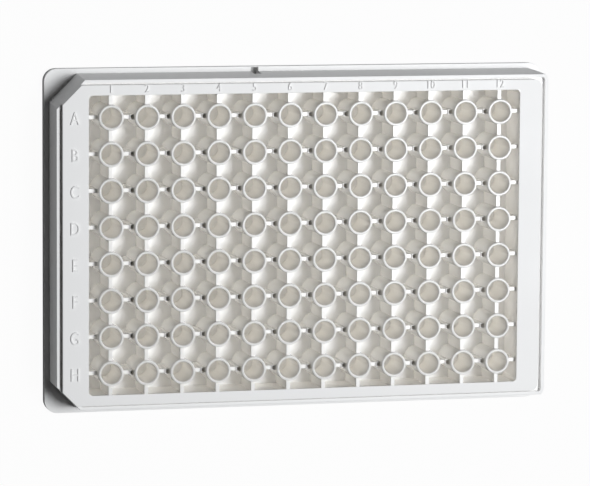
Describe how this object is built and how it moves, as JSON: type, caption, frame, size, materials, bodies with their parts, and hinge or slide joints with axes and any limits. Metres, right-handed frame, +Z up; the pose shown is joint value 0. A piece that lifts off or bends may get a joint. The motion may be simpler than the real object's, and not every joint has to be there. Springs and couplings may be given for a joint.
{
  "type": "well plate",
  "caption": "Shallow rectangular plate of round chimney-shaped wells joined by thin webs inside a raised rim, with a clear film floor, cut corners on one side, a lid seat and a base flange.",
  "frame": {"origin": "centre of the plate's outline, on the table it stands on", "axes": "+X along the long side from column 1 to column 12, +Y towards row A, +Z up out of the wells"},
  "size_m": [0.1278, 0.0854, 0.0143],
  "materials": {
    "white_moulding": "opaque white, fine satin from the mould",
    "clear_film": "clear, smooth"
  },
  "bodies": {
    "root": {"plate_frame": "white_moulding", "bottom_film": "clear_film"}
  },
  "joints": []
}
